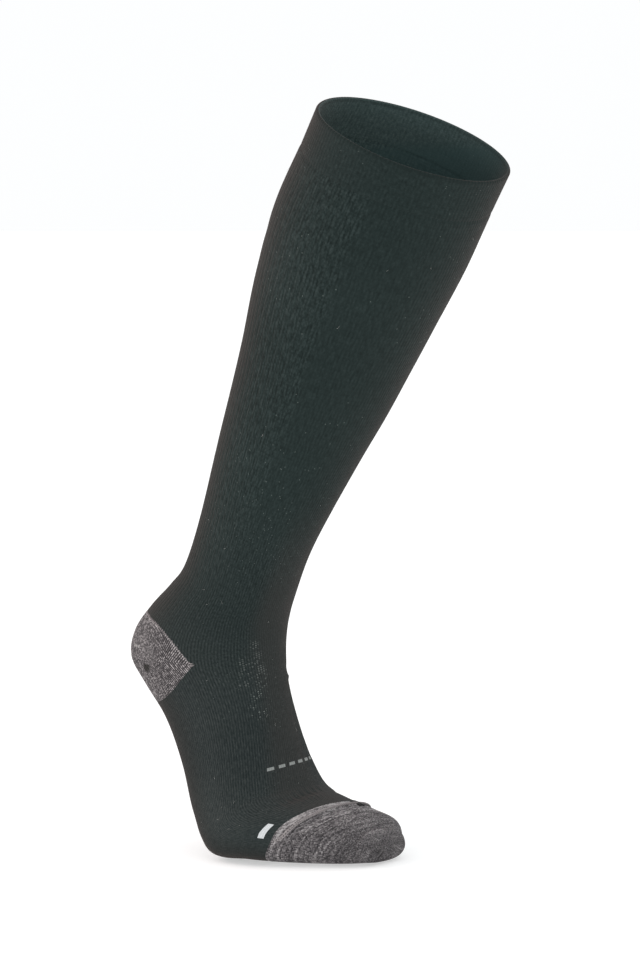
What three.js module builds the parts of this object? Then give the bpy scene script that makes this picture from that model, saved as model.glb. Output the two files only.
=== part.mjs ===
// Knee-high compression stocking for a right foot, filled out and hollow, with the heel lifted
// and the toes flat. Five knitted parts: turned welt, ribbed leg, heel pocket, foot and toe pocket.
// The leg is one run of courses in two solids, an upper and a lower one.
//
// Millimetres. X runs forward from heel to toes, Y to the wearer's left and Z up.
// The origin is the centre of the mouth, where the welt grips the leg below the knee.

import * as THREE from 'three';

// Walls of the knit, and the gap that parts two pieces along a join
const WALL = { welt: 2.4, leg: 1.4, heel: 2, foot: 1.4, toe: 2 };
const JOIN_GAP = 0.4;

// The mouth's centre: forward of the ball of the foot and above the floor, and the leg's lean
const MOUTH = { x: 114, z: 437 };
const LEG_LEAN = THREE.MathUtils.degToRad(27);

// Leg sections square to the leaning axis: distance down it from the mouth, then from the axis
// to the shin and to the calf, and half the width. The second row is the welt's lower edge.
const LEG_SECTIONS = [
  { down: 0, front: 57.5, back: 56, half: 65 },
  { down: 26, front: 56.5, back: 58, half: 63.5 },
  { down: 64, front: 55, back: 61, half: 63 },
  { down: 108, front: 51, back: 58, half: 57.5 },
  { down: 153, front: 46.5, back: 50.5, half: 52 },
  { down: 197, front: 41, back: 46, half: 45 },
  { down: 237, front: 36.5, back: 41.5, half: 39.5 },
];

// Ankle, heel and foot sections, each through a point of the upper outline and one of the lower:
// x forward of the ball and z above the floor. half is half the width, side moves the section
// towards the big toe, ridge moves its upper edge so, and sole and top are the squareness of
// its lower and upper half, where 2 is an ellipse.
const FOOT_SECTIONS = [
  { topX: 22, topZ: 181, lowX: -44, lowZ: 210.5, half: 34.5, side: 0, ridge: 0, sole: 2, top: 2 },
  { topX: 10, topZ: 154, lowX: -58, lowZ: 178.5, half: 34, side: 0, ridge: 0, sole: 2, top: 2 },
  { topX: 6, topZ: 142, lowX: -71, lowZ: 164, half: 35.5, side: 0, ridge: 0, sole: 2, top: 2 },
  { topX: 6, topZ: 133, lowX: -89, lowZ: 149, half: 35, side: 0, ridge: 0, sole: 2, top: 2 },
  { topX: 6.5, topZ: 124, lowX: -104.5, lowZ: 132.5, half: 34, side: 0, ridge: 0.5, sole: 2, top: 2 },
  { topX: 7, topZ: 115, lowX: -109.5, lowZ: 115, half: 32, side: 0, ridge: 1.5, sole: 2, top: 2 },
  { topX: 7, topZ: 104, lowX: -96, lowZ: 98, half: 30, side: 0.5, ridge: 3, sole: 2.3, top: 2 },
  { topX: 8, topZ: 86.5, lowX: -74, lowZ: 77.5, half: 31, side: 0.5, ridge: 5.5, sole: 2.7, top: 2 },
  { topX: 12, topZ: 65.5, lowX: -53, lowZ: 51.5, half: 36, side: -1, ridge: 7.5, sole: 3, top: 2 },
  { topX: 19.5, topZ: 46, lowX: -33.5, lowZ: 24.5, half: 43.5, side: -3.5, ridge: 8, sole: 3.4, top: 2 },
  { topX: 24, topZ: 40.5, lowX: -13.5, lowZ: 2, half: 49.5, side: -3, ridge: 7, sole: 3.6, top: 2.1 },
  { topX: 35.5, topZ: 35, lowX: 13, lowZ: 0.8, half: 49, side: 1, ridge: 5, sole: 3.6, top: 2.1 },
  { topX: 49, topZ: 31, lowX: 39, lowZ: 0.4, half: 41.5, side: 9, ridge: 3, sole: 3.6, top: 2.1 },
  { topX: 62.5, topZ: 26.5, lowX: 62, lowZ: 0.5, half: 33, side: 16.5, ridge: 2, sole: 3.2, top: 2.1 },
  { topX: 70, topZ: 20.5, lowX: 76.5, lowZ: 1.5, half: 22.5, side: 19, ridge: 0, sole: 2.6, top: 2.1 },
];
const TOE_END_ROUND = 6;

// Stations count the sections from 0 at the mouth; one between two rows lies between them.
// Angles go round a section from 0 at the calf, heel and sole, through 90 on the outer side.
const WELT_EDGE = 1;
const LEG_PARTING = 4;
const HEEL_CORNER = { station: 12, angle: 105 };
const HEEL_UPPER = { reach: 1.75, power: 5.6 };
const HEEL_LOWER = { reach: 1.6, power: 3.8 };
const HEEL_TIP_INSET = 0.9;
const TOE_JOIN = { station: 18.38, slant: 0.18 };

// Ribs of the calf panel: two wales each, this wide in angle, over the back of the leg
const RIB = { angle: 5, panel: 115, raise: 0.35 };

// Welt: pulled in a little, with an outer edge that rolls in at the top over this much of a station
const WELT_PULL = 0.2;
const WELT_ROLL = { depth: 0.6, width: 0.05 };

// Ridge of the linked seam that closes the toe pocket over the top of the toes
const TOE_RIDGE = { near: 0.12, bow: 0.28, halfWidth: 0.07, raise: 0.7, from: 95, full: 112 };

const COLOUR = { black: 0x2b3433, grey: 0x6b6869 };

// How finely the walls are divided: rows down each piece, and columns in degrees apart
const ROWS = { welt: 3, upperLeg: 6, lowerLeg: 9, heel: 8, foot: 12, toe: 6, toeEnd: 3 };
const COLUMN = { even: 7.5, sole: 10, corner: 5, front: 7.5, smoothLeg: 8.125 };
const SOLE_HALF = 60;
const TOE_END_STOP = 0.75;

// Step for the slopes of the skin, in stations and degrees
const STEP = 0.01;

const legDown = { x: -Math.sin(LEG_LEAN), z: -Math.cos(LEG_LEAN) };
const legForward = { x: Math.cos(LEG_LEAN), z: -Math.sin(LEG_LEAN) };

function legSection({ down, front, back, half }) {
  const x = MOUTH.x + down * legDown.x;
  const z = MOUTH.z + down * legDown.z;
  return {
    topX: x + front * legForward.x,
    topZ: z + front * legForward.z,
    lowX: x - back * legForward.x,
    lowZ: z - back * legForward.z,
    half,
    side: 0,
    ridge: 0,
    sole: 2,
    top: 2,
  };
}

const SECTIONS = [...LEG_SECTIONS.map(legSection), ...FOOT_SECTIONS];
const LAST = SECTIONS.length - 1;
const KEYS = Object.keys(SECTIONS[0]);

// A smooth curve through the section table, run on in a straight line past its ends
function sectionAt(station) {
  const i = Math.min(Math.max(Math.floor(station), 0), LAST - 1);
  const t = station - i;
  const value = {};
  for (const key of KEYS) {
    const b = SECTIONS[i][key];
    const c = SECTIONS[i + 1][key];
    const a = i > 0 ? SECTIONS[i - 1][key] : 2 * b - c;
    const d = i < LAST - 1 ? SECTIONS[i + 2][key] : 2 * c - b;
    const linear = (c - a) * t;
    const square = (2 * a - 5 * b + 4 * c - d) * t * t;
    const cube = (3 * b - a - 3 * c + d) * t * t * t;
    value[key] = (2 * b + linear + square + cube) / 2;
  }
  return value;
}

function sectionPoint(station, angle) {
  const s = sectionAt(station);
  const turn = THREE.MathUtils.degToRad(angle);
  const cos = Math.cos(turn);
  const sin = Math.sin(turn);
  const power = s.top + ((s.sole - s.top) * (1 + cos)) / 2;
  const reach = (Math.abs(cos) ** power + Math.abs(sin) ** power) ** (-1 / power);
  const low = (1 + reach * cos) / 2;
  return new THREE.Vector3(
    s.topX + (s.lowX - s.topX) * low - MOUTH.x,
    s.side - s.half * reach * sin + s.ridge * (1 - low),
    s.topZ + (s.lowZ - s.topZ) * low - MOUTH.z,
  );
}

// The outer skin of the stocking; past the last section it rounds off to the tip of the toes
function skinPoint(station, angle) {
  if (station <= LAST) return sectionPoint(station, angle);
  const s = sectionAt(LAST);
  const turn = ((station - LAST) * Math.PI) / 2;
  const height = Math.hypot(s.topX - s.lowX, s.topZ - s.lowZ);
  const ahead = new THREE.Vector3((s.topZ - s.lowZ) / height, 0, (s.lowX - s.topX) / height);
  const centre = new THREE.Vector3(
    (s.topX + s.lowX) / 2 - MOUTH.x,
    s.side + s.ridge / 2,
    (s.topZ + s.lowZ) / 2 - MOUTH.z,
  );
  const spoke = sectionPoint(LAST, angle).sub(centre).multiplyScalar(Math.cos(turn));
  return centre.add(spoke).addScaledVector(ahead, TOE_END_ROUND * Math.sin(turn));
}

function alongSkin(station, angle) {
  const before = skinPoint(station - STEP, angle);
  return skinPoint(station + STEP, angle).sub(before).divideScalar(2 * STEP);
}

function skinNormal(station, angle) {
  const before = skinPoint(station, angle - STEP);
  const round = skinPoint(station, angle + STEP).sub(before);
  return round.cross(alongSkin(station, angle)).normalize().negate();
}

// Half the join's gap, as a share of a station at that place
function joinShift(station, angle) {
  return JOIN_GAP / 2 / alongSkin(station, angle).length();
}

const smooth = (from, to, value) => THREE.MathUtils.smoothstep(value, from, to);
const fromBack = (angle) => Math.abs(angle > 180 ? angle - 360 : angle);

// The heel pocket's upper and lower edge, from the corner on one ankle round to the other
function heelEdge(angle, { reach, power }) {
  const share = Math.min(fromBack(angle) / HEEL_CORNER.angle, 1);
  return reach * (1 - share ** power);
}
const heelUpper = (angle) => HEEL_CORNER.station - heelEdge(angle, HEEL_UPPER);
const heelLower = (angle) => HEEL_CORNER.station + heelEdge(angle, HEEL_LOWER);

const toeJoin = (angle) => {
  return TOE_JOIN.station + TOE_JOIN.slant * Math.sin(THREE.MathUtils.degToRad(angle));
};

function toeRidge(angle) {
  const over = (fromBack(angle) - TOE_RIDGE.from) / (180 - TOE_RIDGE.from);
  const bow = over > 0 ? Math.sqrt(Math.sin((over * Math.PI) / 2)) : 0;
  return toeJoin(angle) + TOE_RIDGE.near + TOE_RIDGE.bow * bow;
}

function evenSteps(from, to, count) {
  return Array.from({ length: count + 1 }, (_, k) => from + ((to - from) * k) / count);
}

// A knitted wall as one closed solid. columns are angles round the skin and rows(angle) the
// stations down it; raise(station, angle, row) lifts the outer face. A tube closes round on
// itself, a patch has side edges, and a tip closes the last row to a point.
function knitWall({ columns, rows, thickness, raise = () => 0, tube = true, tip = false }) {
  const points = [];
  const faces = [];
  const grid = { outer: [], inner: [] };
  const add = (point) => points.push(point) - 1;

  for (const angle of columns) {
    const outer = [];
    const inner = [];
    rows(angle).forEach((station, row) => {
      const skin = skinPoint(station, angle);
      const normal = skinNormal(station, angle);
      outer.push(add(skin.clone().addScaledVector(normal, raise(station, angle, row))));
      inner.push(add(skin.clone().addScaledVector(normal, -thickness)));
    });
    grid.outer.push(outer);
    grid.inner.push(inner);
  }

  const quad = (a, b, c, d) => faces.push(a, b, c, a, c, d);
  const spans = tube ? columns.length : columns.length - 1;
  const end = grid.outer[0].length - 1;
  for (let j = 0; j < spans; j += 1) {
    const [o, p] = [grid.outer[j], grid.outer[(j + 1) % columns.length]];
    const [m, n] = [grid.inner[j], grid.inner[(j + 1) % columns.length]];
    for (let i = 0; i < end; i += 1) {
      quad(o[i], o[i + 1], p[i + 1], p[i]);
      quad(m[i], n[i], n[i + 1], m[i + 1]);
    }
    quad(o[0], p[0], n[0], m[0]);
    if (!tip) quad(o[end], m[end], n[end], p[end]);
  }

  if (!tube) {
    const [o, m] = [grid.outer[0], grid.inner[0]];
    const [p, n] = [grid.outer[spans], grid.inner[spans]];
    for (let i = 0; i < end; i += 1) {
      quad(o[i], m[i], m[i + 1], o[i + 1]);
      quad(p[i], p[i + 1], n[i + 1], n[i]);
    }
  }

  if (tip) {
    const front = skinPoint(LAST + 1, 0);
    const back = front.clone().addScaledVector(skinNormal(LAST + 1 - 2 * STEP, 0), -thickness);
    const [outerTip, innerTip] = [add(front), add(back)];
    for (let j = 0; j < spans; j += 1) {
      const next = (j + 1) % columns.length;
      faces.push(grid.outer[j][end], outerTip, grid.outer[next][end]);
      faces.push(grid.inner[j][end], grid.inner[next][end], innerTip);
    }
  }

  const geometry = new THREE.BufferGeometry().setFromPoints(points);
  geometry.setIndex(faces);
  geometry.computeVertexNormals();
  return geometry;
}

const stocking = new THREE.Group();

function addPiece(name, colour, geometry) {
  const material = new THREE.MeshStandardMaterial({ color: colour, roughness: 0.9, metalness: 0 });
  const mesh = new THREE.Mesh(geometry, material);
  mesh.name = name;
  stocking.add(mesh);
}

// Columns: even ones for the welt and toe, rib by rib for the leg, and for heel and foot ones
// that are closer near the heel's corners
const CORNER = HEEL_CORNER.angle;
const EVEN_COLUMNS = evenSteps(0, 360, 360 / COLUMN.even).slice(0, -1);
const RIB_COLUMNS = [
  ...evenSteps(-RIB.panel, RIB.panel, (4 * RIB.panel) / RIB.angle),
  ...evenSteps(RIB.panel, 360 - RIB.panel, (360 - 2 * RIB.panel) / COLUMN.smoothLeg).slice(1, -1),
];
const SOLE_COLUMNS = evenSteps(-SOLE_HALF, SOLE_HALF, (2 * SOLE_HALF) / COLUMN.sole);
const CORNER_COLUMNS = evenSteps(SOLE_HALF, CORNER, (CORNER - SOLE_HALF) / COLUMN.corner).slice(1);
const FOOT_COLUMNS = [
  ...CORNER_COLUMNS.map((angle) => -angle).reverse(),
  ...SOLE_COLUMNS,
  ...CORNER_COLUMNS,
  ...evenSteps(CORNER, 360 - CORNER, (360 - 2 * CORNER) / COLUMN.front).slice(1, -1),
];
const HEEL_SIDE_COLUMNS = [...CORNER_COLUMNS.slice(0, -1), CORNER - HEEL_TIP_INSET];
const HEEL_COLUMNS = [
  ...HEEL_SIDE_COLUMNS.map((angle) => -angle).reverse(),
  ...SOLE_COLUMNS,
  ...HEEL_SIDE_COLUMNS,
];

// Turned welt: a double band round the mouth
function welt() {
  const rows = (angle) => {
    const edge = WELT_EDGE - joinShift(WELT_EDGE, angle);
    return [0, ...evenSteps(WELT_ROLL.width, edge, ROWS.welt)];
  };
  const raise = (station, angle, row) => -WELT_PULL - (row === 0 ? WELT_ROLL.depth : 0);
  return knitWall({ columns: EVEN_COLUMNS, rows, thickness: WALL.welt, raise });
}

// A stretch of the leg tube, between two edges given as stations over the angle
function legStretch(upperEdge, lowerEdge, count) {
  const rows = (angle) => {
    const start = upperEdge(angle);
    const end = lowerEdge(angle);
    return evenSteps(start + joinShift(start, angle), end - joinShift(end, angle), count);
  };
  const raise = (station, angle) => {
    const wave = (1 - Math.cos((2 * Math.PI * angle) / RIB.angle)) / 2;
    return fromBack(angle) < RIB.panel ? RIB.raise * wave : 0;
  };
  return knitWall({ columns: RIB_COLUMNS, rows, thickness: WALL.leg, raise });
}

// Upper leg: from the welt over the calf
function upperLeg() {
  return legStretch(() => WELT_EDGE, () => LEG_PARTING, ROWS.upperLeg);
}

// Lower leg: down to the heel pocket behind and to the instep bend in front
function lowerLeg() {
  return legStretch(() => LEG_PARTING, heelUpper, ROWS.lowerLeg);
}

// Heel pocket: knitted back and forth, a lens that ends in a corner at each ankle
function heel() {
  const rows = (angle) => {
    const upper = heelUpper(angle);
    const lower = heelLower(angle);
    const start = upper + joinShift(upper, angle);
    return evenSteps(start, lower - joinShift(lower, angle), ROWS.heel);
  };
  return knitWall({ columns: HEEL_COLUMNS, rows, thickness: WALL.heel, tube: false });
}

// Foot tube: from the instep bend and the heel pocket to the toe pocket
function foot() {
  const rows = (angle) => {
    const start = heelLower(angle);
    const end = toeJoin(angle);
    const shifted = start + joinShift(start, angle);
    return evenSteps(shifted, end - joinShift(end, angle), ROWS.foot);
  };
  return knitWall({ columns: FOOT_COLUMNS, rows, thickness: WALL.foot });
}

// Toe pocket: closed over the toes by a linked seam, whose ridge runs across the top
function toe() {
  const ridgeRow = 2;
  const rows = (angle) => {
    const start = toeJoin(angle);
    const ridge = toeRidge(angle);
    return [
      start + joinShift(start, angle),
      ridge - TOE_RIDGE.halfWidth,
      ridge,
      ...evenSteps(ridge + TOE_RIDGE.halfWidth, LAST, ROWS.toe),
      ...evenSteps(LAST, LAST + TOE_END_STOP, ROWS.toeEnd).slice(1),
    ];
  };
  const raise = (station, angle, row) => {
    const over = smooth(TOE_RIDGE.from, TOE_RIDGE.full, fromBack(angle));
    return row === ridgeRow ? TOE_RIDGE.raise * over : 0;
  };
  return knitWall({ columns: EVEN_COLUMNS, rows, thickness: WALL.toe, raise, tip: true });
}

addPiece('welt', COLOUR.black, welt());
addPiece('leg_upper', COLOUR.black, upperLeg());
addPiece('leg_lower', COLOUR.black, lowerLeg());
addPiece('heel', COLOUR.grey, heel());
addPiece('foot', COLOUR.black, foot());
addPiece('toe', COLOUR.grey, toe());

export default stocking;
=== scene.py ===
# %% [markdown]
# # A compression stocking in dark rib knit
# A knee-high stocking like this comes off a small round knitting machine as one tube: a turned
# welt grips the leg below the knee, a ribbed leg narrows to the ankle, a pocket of grey melange
# yarn holds the heel, and a second pocket closes over the toes. Here it keeps the round, hollow
# form that a leg gives it, with the heel lifted and the toes flat.
#
# Blender adds what the plain solids lack: the wales and courses of the knit, the yarns, the
# linked seam over the toes and the soft creases. Each knitted part is a thin shell of cloth
# worked out on the same sections as its solid, so everything fits without being moved.

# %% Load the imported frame
import math
from collections import namedtuple

import bmesh
import bpy
import numpy as np
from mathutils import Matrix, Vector


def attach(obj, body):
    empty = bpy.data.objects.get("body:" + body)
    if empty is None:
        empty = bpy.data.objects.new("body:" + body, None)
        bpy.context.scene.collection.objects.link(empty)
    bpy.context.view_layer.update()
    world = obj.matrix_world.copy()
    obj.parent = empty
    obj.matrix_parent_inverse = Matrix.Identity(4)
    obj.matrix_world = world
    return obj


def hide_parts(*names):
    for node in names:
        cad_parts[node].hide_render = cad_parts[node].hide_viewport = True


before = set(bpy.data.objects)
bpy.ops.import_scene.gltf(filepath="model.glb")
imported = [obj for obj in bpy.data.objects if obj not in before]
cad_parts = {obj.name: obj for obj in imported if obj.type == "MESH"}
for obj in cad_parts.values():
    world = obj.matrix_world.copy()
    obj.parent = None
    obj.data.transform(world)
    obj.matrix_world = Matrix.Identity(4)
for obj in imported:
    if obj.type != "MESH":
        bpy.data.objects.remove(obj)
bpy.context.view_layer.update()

MM = 0.001
bpy.ops.object.select_all(action="DESELECT")
bpy.context.scene.view_settings.view_transform = "Standard"

# %% [markdown]
# ## The form of the tube
# A fitter measures a leg with a tape at a few heights. The rows below are such measures, in
# millimetres: for the leg the distance down from the mouth along an axis that leans 27 degrees,
# and how far the shin, calf and sides stand from it. For ankle, heel and foot each row gives a
# point of the upper outline and one of the lower, the half width, and how square the ring is.

# %% Measures of leg and foot
MOUTH_X, MOUTH_Z = 114, 437
LEG_LEAN = math.radians(27)
TOE_END_ROUND = 6

LEG_ROWS = [
    (0, 57.5, 56, 65),
    (26, 56.5, 58, 63.5),
    (64, 55, 61, 63),
    (108, 51, 58, 57.5),
    (153, 46.5, 50.5, 52),
    (197, 41, 46, 45),
    (237, 36.5, 41.5, 39.5),
]

Ring = namedtuple("Ring", "top_x top_z low_x low_z half side ridge sole top")
FOOT_RINGS = [
    Ring(22, 181, -44, 210.5, 34.5, 0, 0, 2, 2),
    Ring(10, 154, -58, 178.5, 34, 0, 0, 2, 2),
    Ring(6, 142, -71, 164, 35.5, 0, 0, 2, 2),
    Ring(6, 133, -89, 149, 35, 0, 0, 2, 2),
    Ring(6.5, 124, -104.5, 132.5, 34, 0, 0.5, 2, 2),
    Ring(7, 115, -109.5, 115, 32, 0, 1.5, 2, 2),
    Ring(7, 104, -96, 98, 30, 0.5, 3, 2.3, 2),
    Ring(8, 86.5, -74, 77.5, 31, 0.5, 5.5, 2.7, 2),
    Ring(12, 65.5, -53, 51.5, 36, -1, 7.5, 3, 2),
    Ring(19.5, 46, -33.5, 24.5, 43.5, -3.5, 8, 3.4, 2),
    Ring(24, 40.5, -13.5, 2, 49.5, -3, 7, 3.6, 2.1),
    Ring(35.5, 35, 13, 0.8, 49, 1, 5, 3.6, 2.1),
    Ring(49, 31, 39, 0.4, 41.5, 9, 3, 3.6, 2.1),
    Ring(62.5, 26.5, 62, 0.5, 33, 16.5, 2, 3.2, 2.1),
    Ring(70, 20.5, 76.5, 1.5, 22.5, 19, 0, 2.6, 2.1),
]


def leg_ring(down, front, back, half):
    """A leg measure as a ring square to the leaning axis."""
    x = MOUTH_X - down * math.sin(LEG_LEAN)
    z = MOUTH_Z - down * math.cos(LEG_LEAN)
    forward_x, forward_z = math.cos(LEG_LEAN), -math.sin(LEG_LEAN)
    top = (x + front * forward_x, z + front * forward_z)
    low = (x - back * forward_x, z - back * forward_z)
    return Ring(*top, *low, half, 0, 0, 2, 2)


RINGS = np.array([leg_ring(*row) for row in LEG_ROWS] + FOOT_RINGS, float)
LAST = len(RINGS) - 1
print("rings from mouth to toes:", len(RINGS))

# %% [markdown]
# A place on the cloth is a station and an angle. Stations count the rings from 0 at the mouth,
# and a smooth curve runs through them. Angles go round a ring in degrees from 0 at the calf, the
# heel and the sole, through 90 on the outer side of the foot, to 180 on the shin and instep.

# %% Two small helpers for paths and directions
def unit(vectors):
    """Vectors with their length made 1."""
    return vectors / np.linalg.norm(vectors, axis=-1, keepdims=True)


def lengths_along(path):
    """The length from a path's start to each of its points."""
    return np.concatenate([[0], np.cumsum(np.linalg.norm(np.diff(path, axis=0), axis=1))])


# %% From station and angle to a point of the skin
SLOPE_STEP = 0.01


def ring_at(station):
    """The nine ring measures at each station, on a smooth curve through the rows."""
    row = np.clip(np.floor(station).astype(int), 0, LAST - 1)
    t = (station - row)[..., None]
    b, c = RINGS[row], RINGS[row + 1]
    a = np.where((row > 0)[..., None], RINGS[row - 1], 2 * b - c)
    d = np.where((row < LAST - 1)[..., None], RINGS[np.minimum(row + 2, LAST)], 2 * c - b)
    linear = (c - a) * t
    square = (2 * a - 5 * b + 4 * c - d) * t**2
    cube = (3 * b - a - 3 * c + d) * t**3
    return (2 * b + linear + square + cube) / 2


def ring_point(station, angle):
    """A point on the ring at a station, in metres."""
    top_x, top_z, low_x, low_z, half, side, ridge, sole, top = np.moveaxis(ring_at(station), -1, 0)
    cos, sin = np.cos(np.radians(angle)), np.sin(np.radians(angle))
    power = top + (sole - top) * (1 + cos) / 2
    reach = (np.abs(cos) ** power + np.abs(sin) ** power) ** (-1 / power)
    low = (1 + reach * cos) / 2
    x = top_x + (low_x - top_x) * low - MOUTH_X
    y = side - half * reach * sin + ridge * (1 - low)
    z = top_z + (low_z - top_z) * low - MOUTH_Z
    return np.stack([x, y, z], axis=-1) * MM


toe_ring = Ring(*RINGS[LAST])
toe_rise = np.array([toe_ring.top_x - toe_ring.low_x, 0, toe_ring.top_z - toe_ring.low_z])
toe_rise /= np.linalg.norm(toe_rise)
TOE_AHEAD = np.array([toe_rise[2], 0, -toe_rise[0]])
TOE_CENTRE = MM * np.array([
    (toe_ring.top_x + toe_ring.low_x) / 2 - MOUTH_X,
    toe_ring.side + toe_ring.ridge / 2,
    (toe_ring.top_z + toe_ring.low_z) / 2 - MOUTH_Z,
])


def skin(station, angle):
    """The outer skin; past the last ring it rounds off to the tip of the toes."""
    station, angle = np.broadcast_arrays(np.asarray(station, float), np.asarray(angle, float))
    spoke = ring_point(np.minimum(station, LAST), angle) - TOE_CENTRE
    turn = np.clip(station - LAST, 0, 1)[..., None] * math.pi / 2
    return TOE_CENTRE + spoke * np.cos(turn) + TOE_AHEAD * TOE_END_ROUND * MM * np.sin(turn)


def skin_normal(station, angle):
    """The direction straight out of the skin."""
    near = np.minimum(station, LAST + 0.97)
    round_ring = skin(near, angle + SLOPE_STEP) - skin(near, angle - SLOPE_STEP)
    down_tube = skin(near + SLOPE_STEP, angle) - skin(near - SLOPE_STEP, angle)
    at_tip = (station > LAST + 0.999)[..., None]
    return np.where(at_tip, TOE_AHEAD, unit(np.cross(down_tube, round_ring)))


def lifted(station, angle, height):
    """Points at a height in millimetres above the skin."""
    station, angle = np.broadcast_arrays(np.asarray(station, float), np.asarray(angle, float))
    lift = (np.asarray(height) * MM)[..., None]
    return skin(station, angle) + skin_normal(station, angle) * lift


mouth_girth = np.linalg.norm(np.diff(skin(0.0, np.arange(0, 361, 1.0)), axis=0), axis=1).sum()
print("mouth girth, mm:", round(mouth_girth / MM))

# %% [markdown]
# ## Wales and courses
# The machine has 144 needles, so 144 wales, the columns of stitches, run down the tube from welt
# to toes. They are wide where the leg stretches the cloth and narrow at the ankle. Over the calf
# they pair up as ribs. A course is one turn of stitches round the tube. The heel pocket is a lens
# between two curves that meet in a corner on each ankle.

# %% Where the parts begin and end
NEEDLES = 144
WALE = 360 / NEEDLES
WELT_EDGE = 1
HEEL_STATION, HEEL_CORNER = 12, 105
TOE_STATION, TOE_SLANT = 18.38, 0.18

FLOOR_Z = -MOUTH_Z * MM
WALL = {"welt": 2.4, "dark": 1.4, "heel": 2, "toe": 2}


def smooth(low, high, value):
    """0 below low, 1 above high, with a soft step between them; low may be the larger."""
    t = np.clip((value - low) / (high - low), 0, 1)
    return t * t * (3 - 2 * t)


def from_back(angle):
    """How far an angle is from the calf's and sole's middle line."""
    return np.abs((np.asarray(angle) + 180) % 360 - 180)


def heel_edge(angle, reach, power):
    share = np.minimum(from_back(angle) / HEEL_CORNER, 1)
    return reach * (1 - share**power)


def heel_upper(angle):
    return HEEL_STATION - heel_edge(angle, 1.75, 5.6)


def heel_lower(angle):
    return HEEL_STATION + heel_edge(angle, 1.6, 3.8)


def toe_join(angle):
    return TOE_STATION + TOE_SLANT * np.sin(np.radians(angle))


def toe_seam(angle):
    """Station of the linked seam, which bows away from the pocket's edge over the toes."""
    over = np.clip((from_back(angle) - 95) / 85, 0, 1)
    return toe_join(angle) + 0.12 + 0.28 * np.sqrt(np.sin(over * math.pi / 2))


print("wale at the mouth, mm:", round(mouth_girth / MM / NEEDLES, 2))

# %% [markdown]
# ## How high the knit stands
# On the real cloth a wale is a row of loops that stands a quarter of a millimetre proud, and the
# paired ribs of the calf stand higher. These heights move the points of each shell, so the ribs
# are there from any side and in the mesh itself. A few soft creases are listed, each as the
# station and angle of both ends of a trough or ridge, its height and its width: where the toes
# bend, in front of the ankle, above the heel and behind the knee.

# %% Creases and the unevenness of a filled tube
CREASES = [
    (17.55, 148, 16.95, 205, -1.3, 3.2),
    (17.85, 158, 17.5, 196, 0.8, 3.0),
    (16.9, 212, 17.4, 252, -0.7, 3.2),
    (16.2, 158, 16.0, 188, -0.35, 3.5),
    (15.1, 196, 15.3, 232, -0.3, 4.0),
    (12.6, 186, 12.72, 214, 0.75, 1.6),
    (12.1, 178, 12.2, 222, -0.45, 2.2),
    (11.2, 166, 11.0, 206, -0.35, 3.0),
    (9.6, 150, 9.9, 190, -0.25, 4.0),
    (9.7, -34, 9.9, 12, -0.4, 4.5),
    (9.1, 250, 9.5, 292, -0.3, 4.0),
    (13.9, 62, 14.6, 88, -0.35, 4.0),
    (14.0, 268, 14.8, 296, -0.4, 4.0),
    (16.4, 20, 16.8, 58, -0.35, 4.5),
    (16.5, 300, 16.9, 336, -0.35, 4.5),
    (2.3, 20, 2.55, 62, -0.3, 5.0),
    (2.6, -58, 2.4, -14, -0.35, 5.0),
    (5.4, 228, 5.9, 262, -0.25, 6.0),
]


def creases(points):
    """Height in millimetres that the creases add at each point."""
    height = np.zeros(points.shape[:-1])
    share = np.linspace(0, 1, 9)
    for station, angle, to_station, to_angle, high, width in CREASES:
        stations = station + (to_station - station) * share
        path = skin(stations, angle + (to_angle - angle) * share)
        away = np.linalg.norm(points[..., None, :] - path, axis=-1) / MM
        nearest = away.argmin(axis=-1)
        taper = np.sin(math.pi * (0.08 + 0.84 * share))[nearest]
        height += high * taper * np.exp(-((away.min(axis=-1) / width) ** 2))
    return height


def unevenness(points):
    """Slow swells of the filled cloth, some tenths of a millimetre high."""
    x, y, z = np.moveaxis(points / MM, -1, 0)
    swell = np.sin(x / 17 + 0.7 * np.sin(z / 23)) * np.sin(z / 26 + y / 31)
    ripple = np.sin(z / 9.5 + 0.8 * np.sin(y / 14)) * np.sin(x / 12.5 - y / 19)
    return 0.22 * swell + 0.07 * ripple


# %% Ribs, wales and the shape of the dark knit
PANEL_EDGE = 116


def wale_wave(wales):
    """1 on the middle line of each wale, 0 between wales."""
    return (1 - np.cos(2 * math.pi * wales)) / 2


def dark_height(station, angle):
    """Height of the leg's and foot's outer face above the skin, without creases."""
    wales = angle / WALE
    rib = wale_wave(wales / 2)
    panel = smooth(PANEL_EDGE + 4, PANEL_EDGE - 4, from_back(angle))
    panel = panel * smooth(1.02, 1.3, station) * smooth(10.6, 9.2, station)
    instep = smooth(96, 104, from_back(angle))
    instep = instep * smooth(10.4, 11.2, station) * smooth(16.6, 15.4, station)
    single = (0.09 + 0.11 * instep) * wale_wave(wales)
    return panel * (0.18 * rib + 0.05 * wale_wave(wales)) + (1 - panel) * single


print("creases placed by hand:", len(CREASES))

# %% [markdown]
# ## One way to lay out cloth
# Every knitted part is a grid: rows of points down the tube, columns round it. The class below
# collects such grids, closes the thickness at their edges, and gives each corner its wale and
# course as a UV map, which the yarns' colours follow later. Points that fall together, such as
# the first and last column of a tube, are then welded.

# %% Collect grids into one piece of cloth
UV_NAME = "wales_and_courses"
INSIDE = 1000
WELD = 1e-6
RIM_ANGLE = math.radians(68)


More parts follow.
